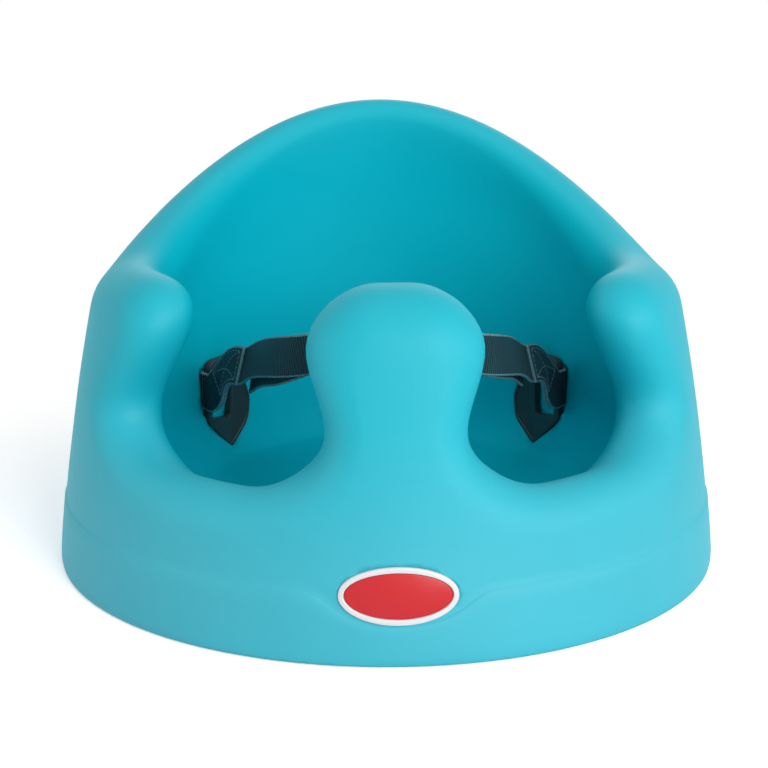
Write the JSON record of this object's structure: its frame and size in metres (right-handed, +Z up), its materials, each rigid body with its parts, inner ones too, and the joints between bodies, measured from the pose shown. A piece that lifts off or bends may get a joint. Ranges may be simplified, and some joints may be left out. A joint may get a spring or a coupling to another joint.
{
  "type": "baby floor seat",
  "caption": "One-piece moulded foam floor seat for a baby: round base, high back, leg openings round a front pommel, and a lap belt with a side-release buckle.",
  "frame": {"origin": "middle of the base, on the floor", "axes": "+Z up; -Y towards the front, where the pommel is; +X to the right of a person looking at the front"},
  "size_m": [0.3708, 0.3708, 0.24],
  "materials": {
    "foam": "satin skin of moulded foam",
    "badge_white": "gloss",
    "badge_red": "gloss",
    "black_nylon": "moulded, slightly grained",
    "insert_plastic": "moulded",
    "webbing": "woven, ribbed across"
  },
  "bodies": {
    "seat": {"seat_body": "foam", "badge_bezel": "badge_white", "badge_panel": "badge_red", "anchor_plate_left": "black_nylon", "anchor_plate_right": "black_nylon", "anchor_insert_left": "insert_plastic", "anchor_insert_right": "insert_plastic", "strap_left": "webbing", "strap_right": "webbing", "buckle_socket": "black_nylon"},
    "plug": {"buckle_plug": "black_nylon"},
    "upper_latch": {"latch_arm_top": "black_nylon"},
    "lower_latch": {"latch_arm_bottom": "black_nylon"}
  },
  "joints": [
    {"name": "buckle_release", "type": "slide", "parent": "seat", "child": "plug", "axis": [1, 0, 0], "range_m": [0, 0.03], "deforming": ["strap_right", "latch_arm_top", "latch_arm_bottom"]},
    {"name": "upper_latch_press", "type": "hinge", "parent": "plug", "child": "upper_latch", "pos_m": [0.007, -0.07, 0.1426], "axis": [0, -1, 0], "range_deg": [0, 7], "stiffness_Nm_per_rad": 0.6},
    {"name": "lower_latch_press", "type": "hinge", "parent": "plug", "child": "lower_latch", "pos_m": [0.007, -0.07, 0.1194], "axis": [0, 1, 0], "range_deg": [0, 7], "stiffness_Nm_per_rad": 0.6}
  ]
}
